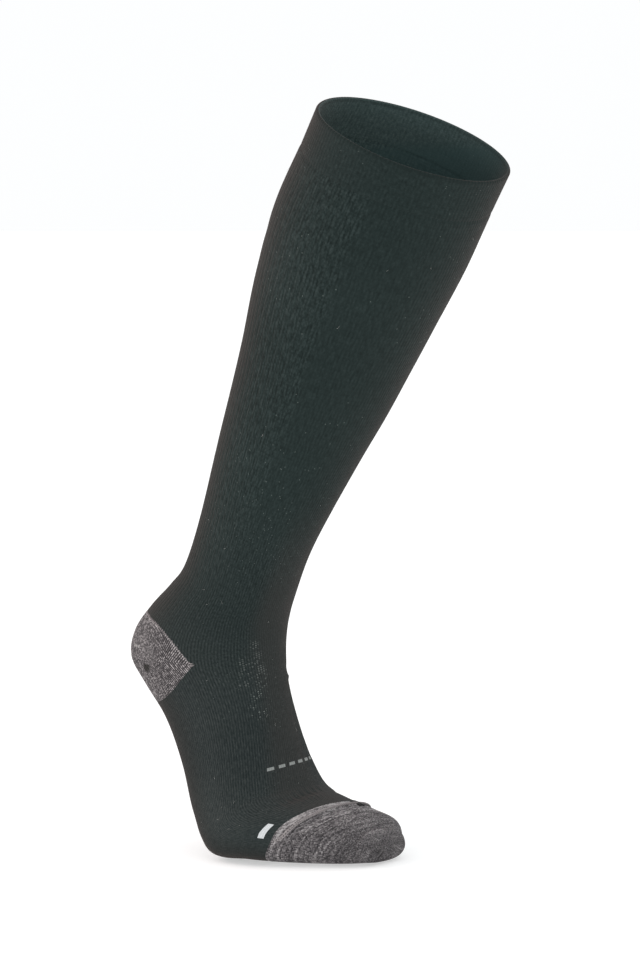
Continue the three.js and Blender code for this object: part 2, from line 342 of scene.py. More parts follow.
class Cloth:
    """A knitted piece: grids of points, welded into one closed shell."""

    def __init__(self):
        self.points = []
        self.faces = []
        self.corners = []
        self.count = 0

    def _ids(self, points):
        flat = points.reshape(-1, 3)
        start = self.count
        self.points.append(flat)
        self.count += len(flat)
        return np.arange(start, self.count).reshape(points.shape[:-1])

    def grid(self, points, wales, courses, inside=False):
        """Faces over a grid of points; inside turns them to look into the tube."""
        ids = self._ids(points)
        uv = np.stack(np.broadcast_arrays(wales + INSIDE * inside, courses), axis=-1)
        places = [(0, 0), (1, 0), (1, 1), (0, 1)]
        if inside:
            places.reverse()
        rows, columns = ids.shape
        pick = [(slice(i, rows - 1 + i), slice(j, columns - 1 + j)) for i, j in places]
        self.faces.extend(np.stack([ids[p] for p in pick], axis=-1).reshape(-1, 4).tolist())
        self.corners.append(np.stack([uv[p] for p in pick], axis=-2).reshape(-1, 2))

    def rim(self, outer, inner, wales, course, end=False):
        """Closes the thickness between an outer edge and an inner one with fewer points."""
        outer_ids, inner_ids = self._ids(outer), self._ids(inner)
        each = (len(outer) - 1) // (len(inner) - 1)
        for j in range(len(inner) - 1):
            run = range(j * each, (j + 1) * each + 1)
            face = [int(outer_ids[k]) for k in run] + [int(inner_ids[j + 1]), int(inner_ids[j])]
            across = [wales[k] for k in run] + [wales[(j + 1) * each], wales[j * each]]
            if end:
                face.reverse()
                across.reverse()
            self.faces.append(face)
            self.corners.append(np.array([(w, course) for w in across], float))

    def piece(self, name):
        """The welded mesh as an object, smooth but for its rims."""
        mesh = bpy.data.meshes.new(name)
        mesh.from_pydata(np.concatenate(self.points).tolist(), [], self.faces)
        layer = mesh.uv_layers.new(name=UV_NAME)
        layer.data.foreach_set("uv", np.concatenate(self.corners).astype(np.float32).ravel())
        shape = bmesh.new()
        shape.from_mesh(mesh)
        bmesh.ops.remove_doubles(shape, verts=shape.verts, dist=WELD)
        loose = [vert for vert in shape.verts if not vert.link_faces]
        bmesh.ops.delete(shape, geom=loose, context="VERTS")
        open_edges = sum(1 for edge in shape.edges if not edge.is_manifold)
        shape.to_mesh(mesh)
        shape.free()
        made = bpy.data.objects.new(name, mesh)
        bpy.context.collection.objects.link(made)
        bpy.ops.object.select_all(action="DESELECT")
        made.select_set(True)
        bpy.context.view_layer.objects.active = made
        bpy.ops.object.shade_smooth_by_angle(angle=RIM_ANGLE)
        made.select_set(False)
        mesh.calc_loop_triangles()
        print(name, "triangles:", len(mesh.loop_triangles), "open edges:", open_edges)
        return made


# %% Columns and rows that every tube uses
FINE = 4
COARSE = 2
fine_angles = np.linspace(0, 360, NEEDLES * FINE + 1)
coarse_angles = fine_angles[:: FINE // COARSE]


def between(start, end, share):
    """Stations at shares of the way from one edge curve to another, a row for each share."""
    return start + (end - start) * share[:, None]


# %% [markdown]
# ## Leg and foot
# Below the welt the leg is knitted in one go to the heel and, in front, on into the foot, so one
# function makes both. The outer face carries the ribs. The inner face is seen through the mouth,
# so it has the ribs too, on fewer rows. Where the welt is caught down, the cloth dips in a fine
# groove. Leg and foot have the same columns and meet point to point where they are one cloth.

# %% Knit a tube between two edges
def dark_tube(name, edges, share, inner_rows, courses, dip=0.0):
    """A run of dark knit between two edge curves, which give a station for each angle."""
    cloth = Cloth()
    start, end = edges
    stations = between(start(fine_angles), end(fine_angles), share)
    flat = skin(stations, fine_angles)
    height = dark_height(stations, fine_angles) + creases(flat) + unevenness(flat) + dip
    outer = lifted(stations, fine_angles, height)
    wales = fine_angles / WALE
    cloth.grid(outer, wales, (share * courses)[:, None])

    inner_share = np.linspace(0, 1, inner_rows)
    stations = between(start(coarse_angles), end(coarse_angles), inner_share)
    flat = skin(stations, coarse_angles)
    depth = -WALL["dark"] + creases(flat) + unevenness(flat)
    depth = depth - 0.5 * dark_height(stations, coarse_angles)
    inner = lifted(stations, coarse_angles, depth)
    cloth.grid(inner, coarse_angles / WALE, (inner_share * courses)[:, None], inside=True)
    cloth.rim(outer[0], inner[0], wales, 0)
    cloth.rim(outer[-1], inner[-1], wales, courses, end=True)
    return cloth.piece(name)


# %% Knit the leg, with the groove under the welt, and the foot
LEG_COURSES = 170
FOOT_COURSES = 84
GROOVE_DEPTH, GROOVE_SHARE = 0.5, 0.004

close_rows = np.array([0, 0.0022, 0.0048, 0.008])
leg_share = np.concatenate([close_rows, np.linspace(close_rows[-1] * 1.6, 1, 112)])
groove = -GROOVE_DEPTH * np.exp(-((leg_share / GROOVE_SHARE) ** 2))[:, None]
leg_edges = (lambda angles: WELT_EDGE), heel_upper
leg_piece = dark_tube("leg_tube", leg_edges, leg_share, 60, LEG_COURSES, groove)
foot_edges = heel_lower, toe_join
foot_piece = dark_tube("foot_tube", foot_edges, np.linspace(0, 1, 126), 42, FOOT_COURSES)

# %% [markdown]
# ## The turned welt
# The first courses are knitted twice as long as needed, folded over and caught down inside, so
# the welt is a double band with a soft round fold at the top. One grid goes up the outside, over
# the fold and down the inside. Its wales stand less than the leg's.

# %% Knit the welt
WELT_LONG = 26
WELT_COURSES = 18
WELT_FOLD = -100
WELT_WALE = 0.09
WELT_THINNING = 0.9


def welt_band():
    cloth = Cloth()
    half_wall = WALL["welt"] / 2
    fold = half_wall / WELT_LONG
    up = np.concatenate([[1.0, 0.985, 0.965], np.linspace(0.93, fold, 20)])
    turn = np.linspace(0, math.pi, 13)[1:-1]
    down = np.linspace(fold, 1.0, 24)
    rows = np.concatenate([up, fold - fold * np.sin(turn), down])
    inside = WALL["welt"] - WELT_THINNING * smooth(0.25, 1, down)
    sunk = np.concatenate([0 * up, half_wall * (1 - np.cos(turn)), inside])
    edge_round = 0.35 * np.exp(-(((1 - rows) * WELT_LONG / 0.5) ** 2)) * (sunk < half_wall)
    side = np.cos(math.pi * sunk / WALL["welt"])[:, None]

    stations = np.broadcast_to(rows[:, None], (len(rows), len(fine_angles)))
    swell = unevenness(skin(stations, fine_angles))
    knit = WELT_WALE * wale_wave(fine_angles / WALE)
    height = swell - 0.2 - (sunk + edge_round)[:, None] + side * knit
    points = lifted(stations, fine_angles, height)
    wales = fine_angles / WALE
    courses = WELT_FOLD + (np.concatenate([-up, 0 * turn, down]) * WELT_COURSES)[:, None]
    top = len(up) + len(turn) // 2
    cloth.grid(points[top::-1], wales, courses[top::-1])
    cloth.grid(points[top:], wales, courses[top:], inside=True)
    cloth.rim(points[0], points[-1], wales, WELT_FOLD - WELT_COURSES, end=True)
    return cloth.piece("welt_band")


welt_piece = welt_band()

# %% [markdown]
# ## The heel pocket
# The heel is knitted back and forth on half the needles. Each row is shorter than the last until
# the middle, then they grow again, so two halves meet along a line from corner to corner. In the
# upper half the wales stand square to the upper edge, in the lower half square to the lower one.
# To find a point's wale, the nearest place on that edge is looked up.

# %% Knit the heel
HEEL_WALE = 1.5 * MM
HEEL_COURSE = 0.9 * MM
HEEL_LIFT = 0.16
HEEL_COLUMNS = 649
LOWER_HALF = 200
HEEL_INNER_COURSES = 60


def along_edge(points, edge):
    """For each point the length along an edge to the nearest place on it, and the way there."""
    flat = points.reshape(-1, 3)
    best = np.full(len(flat), np.inf)
    place = np.zeros(len(flat))
    for start, end, length in zip(edge[:-1], edge[1:], lengths_along(edge)):
        step = end - start
        size = step @ step
        if size == 0:
            continue
        share = np.clip((flat - start) @ step / size, 0, 1)
        away = np.linalg.norm(flat - start - share[:, None] * step, axis=1)
        closer = away < best
        best[closer] = away[closer]
        place[closer] = length + share[closer] * math.sqrt(size)
    return place.reshape(points.shape[:-1]), best.reshape(points.shape[:-1])


def heel_pocket():
    cloth = Cloth()
    angles = np.linspace(-HEEL_CORNER, HEEL_CORNER, HEEL_COLUMNS)
    upper, lower = heel_upper(angles), heel_lower(angles)
    middle = (upper + lower) / 2
    half_share = np.linspace(0, 1, 46)
    middle_line = skin(middle, angles)
    halves = []
    for start, end, edge, shift in ((upper, middle, upper, 0), (middle, lower, lower, LOWER_HALF)):
        stations = between(start, end, half_share)
        flat = skin(stations, angles)
        place, away = along_edge(flat, skin(edge, angles))
        gore = along_edge(flat, middle_line)[1]
        fade = smooth(0, 1.6 * MM, gore) * smooth(0, 0.5 * MM, away)
        wales = place / HEEL_WALE
        height = HEEL_LIFT * wale_wave(wales) * fade + unevenness(flat)
        halves.append((stations, height))
        cloth.grid(lifted(stations, angles, height), wales, shift + away / HEEL_COURSE)

    coarse = angles[:: 2 * FINE]
    inner_share = np.linspace(0, 1, 31)
    stations = between(heel_upper(coarse), heel_lower(coarse), inner_share)
    depth = unevenness(skin(stations, coarse)) - WALL["heel"]
    inner = lifted(stations, coarse, depth)
    courses = (inner_share * HEEL_INNER_COURSES)[:, None]
    cloth.grid(inner, coarse / WALE, courses, inside=True)
    for (stations, height), row in zip(halves, (0, -1)):
        edge = lifted(stations[row], angles, height[row])
        cloth.rim(edge, inner[row], angles / WALE, 0, end=row == -1)
    return cloth.piece("heel_pocket")


heel_piece = heel_pocket()

# %% [markdown]
# ## The toe pocket
# The toe pocket is worked in the same grey yarn, with finer stitches, and closed by a linked
# seam over the top of the toes. The seam leaves a ridge under a chain of loops. Towards the tip
# the wales come closer together, so they are let down there until the end is smooth.

# %% Knit the toe
TOE_COURSES = 76
TOE_LIFT = 0.24
SEAM_LIFT = 0.75
SEAM_HALF = 0.062
SEAM_RISE = 95, 108


def toe_pocket():
    cloth = Cloth()
    body = np.linspace(0, 1, 108)
    stations = between(toe_join(fine_angles), np.full(fine_angles.shape, float(LAST)), body)
    end = LAST + np.sin(np.linspace(0, math.pi / 2, 26))[1:]
    end[-1] = LAST + 1
    tip = np.broadcast_to(end[:, None], (len(end), len(fine_angles)))
    stations = np.vstack([stations, tip])
    flat = skin(stations, fine_angles)
    wales = fine_angles / WALE
    share = np.concatenate([body * 0.78, 0.78 + 0.22 * (end - LAST)])

    pitch = np.linalg.norm(skin(stations, fine_angles + 1) - flat, axis=-1) * WALE / MM
    knit = TOE_LIFT * wale_wave(wales) * smooth(0.35, 1.1, pitch)
    away = (stations - toe_seam(fine_angles)) / SEAM_HALF
    over = smooth(*SEAM_RISE, from_back(fine_angles))
    ridge = SEAM_LIFT * over * np.exp(-(away**2))
    swell = unevenness(flat) * smooth(LAST + 0.95, LAST, stations)
    outer = lifted(stations, fine_angles, knit + ridge + swell)
    cloth.grid(outer, wales, (share * TOE_COURSES)[:, None])

    coarse = fine_angles[::FINE]
    rows = np.concatenate([np.arange(0, len(stations) - 1, 4), [len(stations) - 1]])
    inner_stations = stations[rows][:, ::FINE]
    inner = lifted(inner_stations, coarse, swell[rows][:, ::FINE] - WALL["toe"])
    cloth.grid(inner, coarse / WALE, (share[rows] * TOE_COURSES)[:, None], inside=True)
    cloth.rim(outer[0], inner[0], wales, 0)
    return cloth.piece("toe_pocket")


toe_piece = toe_pocket()

# %% [markdown]
# ## Threads laid on the cloth
# Three small things are sewn or left loose: the chain of loops that links the toe, the tail of
# that linking on the inner side, and some threads at the heel's corners. A thread is a thin tube
# along a path, closed to a point at both ends. The chain repeats one link, made from a torus.

# %% Tubes of yarn
ANY_OTHER_WAY = [0.31, 0.22, 0.92]


def yarn(cloth, path, radius, sides=6):
    """Adds a thread along a path of points, in metres."""
    forward = unit(np.gradient(path, axis=0))
    aside = unit(np.cross(forward, ANY_OTHER_WAY))
    up = np.cross(aside, forward)
    thick = radius * np.sqrt(np.sin(np.linspace(0, math.pi, len(path))).clip(0))
    turns = np.linspace(0, 2 * math.pi, sides + 1)
    turns[-1] = 0
    ring = aside[:, None] * np.cos(turns)[:, None] + up[:, None] * np.sin(turns)[:, None]
    points = path[:, None] + ring * thick[:, None, None]
    cloth.grid(points, turns / MM * radius, (lengths_along(path) / MM)[:, None])


# %% Link the toe seam
LINK_PITCH = 1.75 * MM
LINK_HIGH = 0.28
SEAM_ENDS = 95, 263
LINK_LONG, LINK_WIDE, LINK_THREAD = 1.25 * MM, 0.72 * MM, 0.3 * MM


def seam_chain():
    """The chain of loops along the top of the toe seam."""
    bpy.ops.object.select_all(action="DESELECT")
    bpy.ops.mesh.primitive_torus_add(
        major_segments=12, minor_segments=6, major_radius=LINK_WIDE, minor_radius=LINK_THREAD
    )
    link = bpy.context.active_object
    bpy.ops.object.mode_set(mode="EDIT")
    bpy.ops.mesh.select_all(action="SELECT")
    bpy.ops.transform.resize(value=(LINK_LONG / LINK_WIDE, 1, 0.85))
    bpy.ops.transform.rotate(value=math.radians(-20), orient_axis="Y", center_override=(0, 0, 0))
    bpy.ops.object.mode_set(mode="OBJECT")
    loop = np.array([vert.co[:] for vert in link.data.vertices])
    sides = np.array([face.vertices[:] for face in link.data.polygons])

    angles = np.linspace(*SEAM_ENDS, 400)
    ridge = SEAM_LIFT * smooth(*SEAM_RISE, from_back(angles))
    path = lifted(toe_seam(angles), angles, ridge + LINK_HIGH)
    lengths = lengths_along(path)
    wanted = np.linspace(0, lengths[-1], round(lengths[-1] / LINK_PITCH) + 1)
    spots = np.stack([np.interp(wanted, lengths, path[:, k]) for k in range(3)], axis=-1)
    ahead = unit(np.gradient(spots, axis=0))
    normals = skin_normal(toe_seam(angles), angles)
    near = [int(np.linalg.norm(path - spot, axis=1).argmin()) for spot in spots]
    points, faces = [], []
    for k, spot in enumerate(spots):
        out = normals[near[k]] - ahead[k] * (normals[near[k]] @ ahead[k])
        out /= np.linalg.norm(out)
        across = np.cross(out, ahead[k])
        faces.extend((sides + len(points) * len(loop)).tolist())
        points.append(spot + loop @ np.stack([ahead[k], across, out]))
    mesh = bpy.data.meshes.new("toe_seam_chain")
    mesh.from_pydata(np.concatenate(points).tolist(), [], faces)
    mesh.shade_smooth()
    made = bpy.data.objects.new("toe_seam_chain", mesh)
    bpy.context.collection.objects.link(made)
    bpy.data.objects.remove(link)
    print("links in the toe seam:", len(spots))
    return made


chain_piece = seam_chain()

# %% The tail of the linking, and loose threads at the heel's corners
TAIL_STRANDS = (209.5, 0.5, 1.0), (211.5, 0.75, 1.1), (213.6, 0.45, 0.95)
CORNER_THREADS = (102.6, 107.6, 0.4), (101.8, 106.4, 0.3), (103.2, 106.2, 0.55)


def seam_tail():
    """A short fold of dark cloth and thread where the linking ends, on the inner side."""
    cloth = Cloth()
    stations = np.linspace(18.3, 18.92, 15)
    for angle, height, radius in TAIL_STRANDS:
        sway = 0.8 * np.sin(np.linspace(0, 2.4, len(stations)) + angle)
        yarn(cloth, lifted(stations, angle + sway, height), radius * MM, sides=8)
    return cloth.piece("toe_seam_tail")


def heel_threads():
    """Floats of melange yarn that reach past each corner of the heel pocket."""
    cloth = Cloth()
    for side in (1, -1):
        for start, end, height in CORNER_THREADS:
            share = np.linspace(0, 1, 9)
            stations = HEEL_STATION + (start - 102.4) * 0.09 - 0.2 * share
            stations = stations - 0.05 * np.sin(5 * share)
            angles = side * (start + (end - start) * share)
            lift = 0.15 + height * np.sin(math.pi * share)
            yarn(cloth, lifted(stations, angles, lift), 0.22 * MM)
    return cloth.piece("heel_threads")


tail_piece = seam_tail()
threads_piece = heel_threads()

# %% [markdown]
# ## Lint
# Dark knit shows every pale fibre that clings to it. A few dozen hair-thin fibres lie on leg and
# foot, at places drawn from a seeded list of chances, so they are the same in each run.

# %% Scatter fibres
FIBRES = 90
FIBRE_THICK = 0.055 * MM
FIBRE_SEED = 12


def lint():
    cloth = Cloth()
    chance = np.random.default_rng(FIBRE_SEED)
    for _ in range(FIBRES):
        station = chance.uniform(1.3, 17.8)
        angle = chance.uniform(0, 360)
        heading = chance.uniform(0, 2 * math.pi)
        length = chance.uniform(1.0, 3.2)
        bend = chance.uniform(-0.5, 0.5)
        if heel_upper(angle) - 0.1 < station < heel_lower(angle) + 0.1:
            continue
        share = np.linspace(-0.5, 0.5, 6)
        wave = heading + bend * share * 2
        stations = station + share * length * np.cos(wave) * 0.05
        angles = angle + share * length * np.sin(wave) * 1.2
        path = lifted(stations, angles, 0.62 + 0.25 * np.sin(share * 6))
        yarn(cloth, path, FIBRE_THICK, sides=3)
    return cloth.piece("lint")


lint_piece = lint()

# %% [markdown]
# ## Shader maths written as sums
# A finish mixes many small patterns. To keep that readable, a number that runs through the
# material's nodes is wrapped in a class, so that a sum or a product in Python adds the Math node
# that works it out. Every other kind of node comes from one method.

# %% A finish and the numbers in it
def sums(operation):
    """A method that adds one Math node."""
    return lambda self, other: self.maths(operation, self, other)


class Amount:
    """A number in a finish's nodes, with ordinary arithmetic."""

    def __init__(self, finish, socket):
        self.finish, self.socket = finish, socket

    def maths(self, operation, *values):
        return self.finish.node("ShaderNodeMath", {"operation": operation}, dict(enumerate(values)))

    __add__ = __radd__ = sums("ADD")
    __sub__ = sums("SUBTRACT")
    __mul__ = __rmul__ = sums("MULTIPLY")
    __gt__ = sums("GREATER_THAN")
    __lt__ = sums("LESS_THAN")

    def __rsub__(self, other):
        return self.maths("SUBTRACT", other, self)

    def floor(self):
        return self.maths("FLOOR", self)

    def size(self):
        return self.maths("ABSOLUTE", self)

    def wave(self):
        """A cosine wave from 0 to 1 with a period of 1."""
        return self.maths("COSINE", self * (2 * math.pi)) * 0.5 + 0.5


class Finish:
    """A material being mixed."""

    def __init__(self, name):
        self.material = bpy.data.materials.new(name)
        self.material.use_nodes = True
        self.tree = self.material.node_tree
        self.tree.nodes.clear()

    def node(self, kind, settings=None, values=None, result=0):
        """Adds a node, sets it, then fills its sockets with numbers, colours or links."""
        made = self.tree.nodes.new(kind)
        for key, value in (settings or {}).items():
            if key == "stops":
                self._stops(made.color_ramp, value)
            else:
                setattr(made, key, value)
        for key, value in (values or {}).items():
            if isinstance(value, Amount):
                self.tree.links.new(value.socket, made.inputs[key])
            else:
                made.inputs[key].default_value = value
        return Amount(self, made.outputs[result]) if made.outputs else None

    @staticmethod
    def _stops(ramp, stops):
        while len(ramp.elements) < len(stops):
            ramp.elements.new(1)
        for element, (place, colour) in zip(ramp.elements, stops):
            element.position = place
            element.color = colour

    def place(self):
        return self.node("ShaderNodeTexCoord", result="Object")

    def part_of(self, vector, k):
        """One of the three numbers in a vector."""
        return self.node("ShaderNodeSeparateXYZ", values={0: vector}, result=k)

    def vector(self, x, y, z=0.0):
        return self.node("ShaderNodeCombineXYZ", values={0: x, 1: y, 2: z})

    def chance(self, x, y):
        """A random number from 0 to 1 for each whole x and y."""
        return self.node("ShaderNodeTexWhiteNoise", values={"Vector": self.vector(x, y)})

    def noise(self, vector, scale, detail=2.0):
        values = {"Vector": vector, "Scale": scale, "Detail": detail}
        return self.node("ShaderNodeTexNoise", None, values)

    def ramp(self, amount, stops):
        return self.node("ShaderNodeValToRGB", {"stops": stops}, {0: amount})

    def mix(self, share, first, second):
        """A colour between two others."""
        return self.node("ShaderNodeMix", {"data_type": "RGBA"}, {0: share, 6: first, 7: second}, 2)

    def near_skin(self, station, angle, reach):
        """1 at a place on the skin, falling to 0 at a reach in millimetres from it."""
        ends = {0: self.place(), 1: tuple(skin(station, angle))}
        away = self.node("ShaderNodeVectorMath", {"operation": "DISTANCE"}, ends, "Value")
        return self.step(away, reach * MM, reach * MM * 0.3)

    def step(self, amount, start, end):
        """0 at the start, 1 at the end, with a soft step between them."""
        limits = {"Value": amount, "From Min": start, "From Max": end}
        return self.node("ShaderNodeMapRange", {"interpolation_type": "SMOOTHSTEP"}, limits)

    def drawn_out(self, axis, across, along):
        """The place, with one scale along an axis and another square to it, for streaks."""
        ends = {0: self.place(), 1: axis}
        way = self.node("ShaderNodeVectorMath", {"operation": "DOT_PRODUCT"}, ends, "Value")
        y, z = self.part_of(self.place(), 1), self.part_of(self.place(), 2)
        return self.vector(way * across, y * along, z * along)

    def height_above_floor(self):
        return self.part_of(self.place(), 2) - FLOOR_Z

    def cloth(self, colour, height, depth, roughness, sheen):
        """Ends the finish as matte cloth; its sheen has a weight, a roughness and a tint."""
        bump = {"Height": height, "Distance": depth, "Strength": 1.0}
        values = {
            "Base Color": colour,
            "Roughness": roughness,
            "Specular IOR Level": 0.12,
            "Sheen Weight": sheen[0],
            "Sheen Roughness": sheen[1],
            "Sheen Tint": sheen[2],
            "Normal": self.node("ShaderNodeBump", None, bump),
        }
        surface = self.node("ShaderNodeBsdfPrincipled", None, values)
        self.node("ShaderNodeOutputMaterial", None, {"Surface": surface})
        return self.material


def dye(*parts):
    """A colour as read from cloth, 0 to 255, turned into Blender's linear light."""
    light = [(part / 255 + 0.055) / 1.055 for part in parts]
    return (*(share**2.4 for share in light), 1.0)


# %% [markdown]
# ## The dark knit
# The yarn is a near black polyamide with a cold cast, wound round clear elastane. On the calf's
# ribs the stitches vary most and short slubs run along the wales, while the shin is almost even.
# A warm sheen is painted along the calf's side and the front of the ankle, where the cloth is
# seen edge on, and the cloth is lighter wherever it is seen edge on, which is the sheen's work.
# The foot's colours are a little lighter and warmer than the leg's, and lighter again near the
# floor. Inside the mouth the cloth is painted with the light that falls in, paler at the top and
# towards the calf, with painted shade deeper down, and above the heel grey loops reach into the
# last dark course.
#
# Pale dots of the backing yarn show through on the front of the ankle, in every second stitch.
# The foot also carries a short row of plain dashes and a small bar, knitted in white yarn.

# %% A finish that knows its stitches
COURSE_BOW = 0.45


class Knit(Finish):
    """Wales and courses, the whole stitch, how far aside of its wale, its luck and its loop."""

    def __init__(self, name, thinning):
        super().__init__(name)
        uv = self.node("ShaderNodeUVMap", {"uv_map": UV_NAME})
        self.wales, self.courses = self.part_of(uv, 0), self.part_of(uv, 1)
        self.wale, self.course = self.wales.floor(), self.courses.floor()
        self.aside = ((self.wales - self.wale - 0.5) * 2).size()
        self.luck = self.chance(self.wale, self.course)
        bowed = self.courses - self.aside * COURSE_BOW
        self.loop = bowed.wave() * (1 - self.aside * self.aside * thinning)


# %% Where the dark knit changes, and its dyes
LOW_ON_FOOT = 0.07, 0.015
BELOW_CALF = 0.22, 0.12
ABOVE_ANKLE = 0.17, 0.24
LEG_TO_FOOT = 0.24, 0.06
# heights of the painted warm sheen in front of the ankle
FRONT_SHEEN_HEIGHTS = 0.23, 0.15
# the heights over which the painted shade inside the mouth comes in
PAINTED_SHADE_HEIGHTS = 0.439, 0.428

RIBS_BEGIN = 22.5, 25.0
INSTEP_WALES = 48.0, 34.0
# wales of the painted warm sheen, towards the calf and at the front of the ankle
CALF_SHEEN_WALES = 36.0, 50.0
FRONT_SHEEN_WALES = 15.0, 5.0

MIDDLE_TONE = 0.46
LEG_DYES = dye(21, 31, 30), dye(32, 43, 42), dye(46, 57, 56)
FOOT_DYES = dye(30, 38, 38), dye(43, 50, 50), dye(58, 64, 63)
# painted light on the inner face of the mouth, and painted shade further down inside
PAINTED_LIGHT_MOUTH_DYES = dye(50, 65, 64), dye(70, 86, 85), dye(94, 110, 108)
PAINTED_SHADE_MOUTH_DYES = dye(35, 51, 51), dye(69, 92, 92)
DASH_DYE, BAR_DYE = dye(158, 162, 160), dye(222, 226, 228)
DARK_SHEEN = 0.07, 0.4, dye(255, 196, 186)

DASHES = [(60 + 5 * k, 63 + 5 * k, 44.5, 45.6) for k in range(6)]
BAR = [(38, 49, 79.1, 81.3)]
DOTTED_PLACES = [
    (10.4, 155, 4), (11.1, 157, 4.5), (11.6, 144, 5.5), (11.7, 155, 5.5), (12.2, 158, 6),
    (12.3, 144, 6), (12.7, 157, 6), (12.8, 140, 5), (13.3, 150, 5.5), (13.8, 144, 5),
    (13.9, 151, 6),
]


# %% Mix the dark knit, one feature after another
class DarkKnit(Knit):
    """The dark knit; heights are in metres above the floor, and wales count from the shin."""

    def __init__(self, name):
        super().__init__(name, 1.0)
        self.slub = self.noise(self.vector(self.wales * 1.7, self.courses * 0.5), 1.0, 3.0)
        self.grain = self.noise(self.place(), 900.0, 3.0)
        self.cloud = self.noise(self.place(), 16.0, 2.0)
        self.high = self.height_above_floor()
        self.from_front = (self.wales - NEEDLES / 2).size()
        self.outside = self.wales < NEEDLES + 1

    def tint(self, share, colour):
        """Mixes a share of another colour into what is there."""
        self.colour = self.mix(share, self.colour, colour)

    def tone(self):
        """Tone: even shin, painted shade between wales, most on the open instep, and rough ribs."""
        tone = self.slub * 0.6 + self.grain * 0.3 + self.luck * 0.04 + self.loop * 0.08
        tone = tone + self.cloud * 0.14 - 0.11 + self.step(self.high, *LOW_ON_FOOT) * 0.07
        opened = self.step(self.high, *BELOW_CALF) * self.step(self.from_front, *INSTEP_WALES)
        # painted shade in the grooves between wales, strongest on the instep's open wales
        groove = self.aside - 0.5 + self.loop * 0.25
        tone = tone - groove * (opened * 0.14 + 0.04)
        upper = self.step(self.high, *ABOVE_ANKLE)
        ribbed = self.step(self.from_front, *RIBS_BEGIN) * upper
        ribbed = ribbed * (self.courses > WELT_FOLD / 2)
        contrast = 1.0 - upper * 0.35 + ribbed * 0.6
        return (tone - MIDDLE_TONE) * contrast + ribbed * 0.02 + MIDDLE_TONE

    def dyed(self, tone, dyes):
        """A dark, a middle and a pale dye over the tone."""
        return self.ramp(tone, list(zip((0.3, MIDDLE_TONE, 0.64), dyes)))

    def ground(self):
        """The outer face, and the inner one that the mouth shows, with painted light and shade."""
        tone = self.tone()
        leg, foot = self.dyed(tone, LEG_DYES), self.dyed(tone, FOOT_DYES)
        self.colour = self.mix(self.step(self.high, *LEG_TO_FOOT), leg, foot)
        # inside the mouth: painted light, paler towards the calf's side, and painted shade lower
        # down
        within = self.wales > INSIDE - 1
        painted_shade = self.step(self.high, *PAINTED_SHADE_HEIGHTS)
        painted_light_calf_side = self.step((self.wales - INSIDE - NEEDLES / 2).size(), 4.0, 60.0)
        painted_light_share = within * (0.4 + painted_light_calf_side * 0.62 - painted_shade * 0.26)
        self.tint(painted_light_share, self.dyed(tone, PAINTED_LIGHT_MOUTH_DYES))
        self.tint(within * painted_shade * 0.7, self.mix(painted_light_calf_side, *PAINTED_SHADE_MOUTH_DYES))

    def painted_edge_sheen(self):
        """Painted warm sheen where the cloth is seen edge on, towards the calf and in front of the
        ankle.
        """
        # painted sheen: a warm, slightly darker tint towards the calf, a warm paler one in front of
        # the ankle
        calf = self.step(self.from_front, *CALF_SHEEN_WALES) * self.outside
        self.tint(calf * 0.48, dye(33, 34, 32))
        ankle = self.step(self.from_front, *FRONT_SHEEN_WALES) * self.step(self.high, *FRONT_SHEEN_HEIGHTS)
        self.tint(ankle * 0.4, dye(56, 54, 52))

    def edges(self):
        """Grey loops in the last course above the heel, and shade on the welt's fold."""
        behind = self.from_front > NEEDLES / 2 - HEEL_CORNER / WALE
        reach = 1.5 - self.aside * 1.5 + self.luck * 0.5
        caught = behind * self.outside * (self.courses > LEG_COURSES - reach)
        self.tint(caught * 0.9, dye(116, 112, 113))
        fold = self.step((self.courses - WELT_FOLD).size(), 2.2, 0.6)
        self.tint(fold * 0.4, dye(24, 34, 33))

    def specks(self):
        """Pale pinpricks of elastane."""
        cell_x, cell_y = self.wales * 2.5, self.courses * 2.5
        off_x, off_y = cell_x - cell_x.floor() - 0.5, cell_y - cell_y.floor() - 0.5
        dot = (off_x * off_x + off_y * off_y) < 0.12
        drawn = self.chance(cell_x.floor() + 31.0, cell_y.floor() + 57.0)
        speck = dot * (drawn > (1.0 - self.step(self.cloud, 0.4, 0.7) * 0.013))
        self.tint(speck * 0.5, dye(108, 118, 114))

    def backing_dots(self):
        """Every second stitch near each place, some left out."""
        turn = (self.wale + self.course) * 0.5
        backing = (turn - turn.floor() > 0.25) * (self.luck > 0.42) * (self.loop > 0.6)
        pale = sum(self.near_skin(*place) for place in DOTTED_PLACES)
        self.tint(pale * backing * (self.luck * 0.6 + 0.25), dye(132, 138, 134))

    def knit_in(self, marks, share, white):
        """Plain marks in white yarn, each between two wales and two courses."""
        for left, right, start, end in marks:
            inside = (self.wales > left) * (self.wales < right)
            inside = inside * (self.courses > start) * (self.courses < end)
            self.tint(inside * (self.loop * 0.25 + share), white)

    def relief(self):
        """How high the stitches stand in the bump."""
        height = self.loop * 0.4 + self.luck * 0.15 + self.slub * 0.4 + self.grain * 0.4
        return height - self.aside * self.aside * 0.2


def dark_knit(name, dashes=(), bars=()):
    finish = DarkKnit(name)
    finish.ground()
    finish.painted_edge_sheen()
    finish.edges()
    finish.specks()
    finish.backing_dots()
    finish.knit_in(dashes, 0.63, DASH_DYE)
    finish.knit_in(bars, 0.8, BAR_DYE)
    print(name, "nodes:", len(finish.tree.nodes))
    return finish.cloth(finish.colour, finish.relief(), 0.16 * MM, 0.85, DARK_SHEEN)


dark_leg = dark_knit("dark_knit")
dark_foot = dark_knit("dark_knit_marked", DASHES, BAR)

